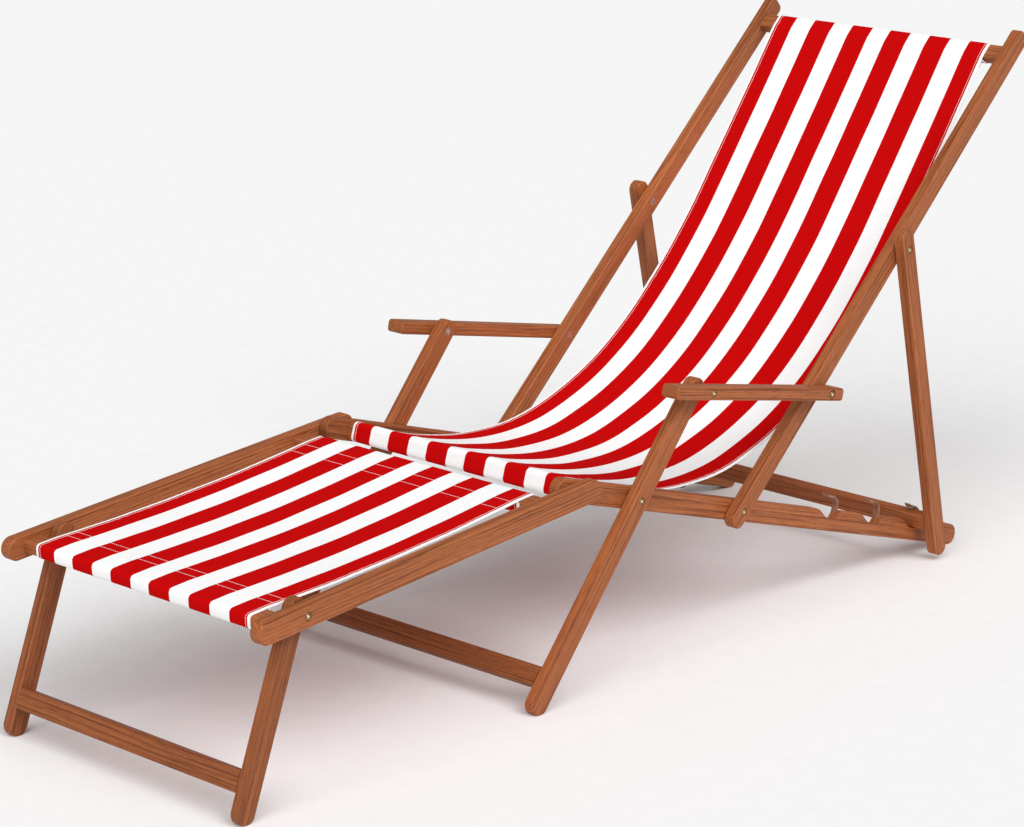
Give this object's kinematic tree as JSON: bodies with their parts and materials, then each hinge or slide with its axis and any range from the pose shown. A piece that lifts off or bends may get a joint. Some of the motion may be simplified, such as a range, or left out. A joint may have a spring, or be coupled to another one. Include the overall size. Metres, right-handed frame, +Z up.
{
  "type": "folding deck chair",
  "caption": "Folding wooden deck chair with striped canvas sling, armrests, notched recline rails and a detachable footrest with folding legs.",
  "frame": {"origin": "middle of the chair's bounding box, on the floor", "axes": "+X to the sitter's left, +Y from the footrest to the top of the back, +Z up"},
  "size_m": [0.618, 1.8428, 0.8942],
  "materials": {
    "oiled_hardwood": "oiled reddish hardwood with straight grain",
    "striped_canvas": "woven canvas in red and white stripes",
    "brass_bolt": "pale polished domed heads",
    "nut_steel": "plain zinc plated",
    "washer_steel": "plain zinc plated",
    "catch_metal": "brown lacquered strip"
  },
  "bodies": {
    "seat_frame": {"seat_rail_left": "oiled_hardwood", "seat_rail_right": "oiled_hardwood", "seat_front_bar": "oiled_hardwood", "prop_catches": "catch_metal", "catch_pins": "washer_steel", "front_leg_bolts": "brass_bolt", "front_leg_nuts": "nut_steel", "front_leg_washers": "washer_steel", "back_pivot_bolts": "brass_bolt", "back_pivot_nuts": "nut_steel", "back_pivot_washers": "washer_steel", "footrest_hinge_pins": "washer_steel", "seat_sling": "striped_canvas"},
    "back_frame": {"back_stile_left": "oiled_hardwood", "back_stile_right": "oiled_hardwood", "back_top_rail": "oiled_hardwood", "armrest_rear_bolts": "brass_bolt", "armrest_rear_nuts": "nut_steel", "armrest_rear_washers": "washer_steel", "prop_leg_bolts": "brass_bolt", "prop_leg_nuts": "nut_steel", "prop_leg_washers": "washer_steel"},
    "prop_frame": {"prop_leg_left": "oiled_hardwood", "prop_leg_right": "oiled_hardwood", "prop_crossbar": "oiled_hardwood"},
    "front_leg_frame": {"front_leg_left": "oiled_hardwood", "front_leg_right": "oiled_hardwood", "front_leg_crossbar": "oiled_hardwood", "armrest_front_bolts": "brass_bolt", "armrest_front_nuts": "nut_steel", "armrest_front_washers": "washer_steel"},
    "armrest_left": {"armrest_left": "oiled_hardwood"},
    "armrest_right": {"armrest_right": "oiled_hardwood"},
    "footrest_frame": {"footrest_rail_left": "oiled_hardwood", "footrest_rail_right": "oiled_hardwood", "footrest_front_bar": "oiled_hardwood", "footrest_rear_bar": "oiled_hardwood", "footrest_sling": "striped_canvas", "footrest_leg_bolts": "brass_bolt", "footrest_leg_nuts": "nut_steel", "footrest_leg_washers": "washer_steel"},
    "footrest_leg_frame": {"footrest_leg_left": "oiled_hardwood", "footrest_leg_right": "oiled_hardwood", "footrest_leg_crossbar": "oiled_hardwood"}
  },
  "joints": [
    {"name": "back_recline", "type": "hinge", "parent": "seat_frame", "child": "back_frame", "pos_m": [0, 0.16572, 0.2073], "axis": [1, 0, 0], "range_deg": [-40, 0], "deforming": ["seat_sling"]},
    {"name": "leg_swing", "type": "hinge", "parent": "seat_frame", "child": "front_leg_frame", "pos_m": [0, -0.09038, 0.2842], "axis": [1, 0, 0], "range_deg": [-45, 0]},
    {"name": "armrest_tilt_left", "type": "hinge", "parent": "front_leg_frame", "child": "armrest_left", "pos_m": [0, 0.03886, 0.43552], "axis": [1, 0, 0], "range_deg": [0, 41.5]},
    {"name": "armrest_tilt_right", "type": "hinge", "parent": "front_leg_frame", "child": "armrest_right", "pos_m": [0, 0.03886, 0.43552], "axis": [1, 0, 0], "range_deg": [0, 41.5]},
    {"name": "prop_swing", "type": "hinge", "parent": "back_frame", "child": "prop_frame", "pos_m": [0, 0.56723, 0.57137], "axis": [1, 0, 0], "range_deg": [0, 116.5]},
    {"name": "footrest_lift", "type": "hinge", "parent": "seat_frame", "child": "footrest_frame", "pos_m": [0, -0.23238, 0.326], "axis": [1, 0, 0], "range_deg": [-25, 0]},
    {"name": "footrest_leg_fold", "type": "hinge", "parent": "footrest_frame", "child": "footrest_leg_frame", "pos_m": [0, -0.80388, 0.2838], "axis": [1, 0, 0], "range_deg": [0, 105]}
  ],
  "couplings": [
    {"joint": "leg_swing", "follows": "back_recline", "ratio": 1.1216},
    {"joint": "armrest_tilt_left", "follows": "back_recline", "ratio": -1.0283},
    {"joint": "armrest_tilt_right", "follows": "back_recline", "ratio": -1.0283},
    {"joint": "prop_swing", "follows": "back_recline", "ratio": -2.9}
  ]
}
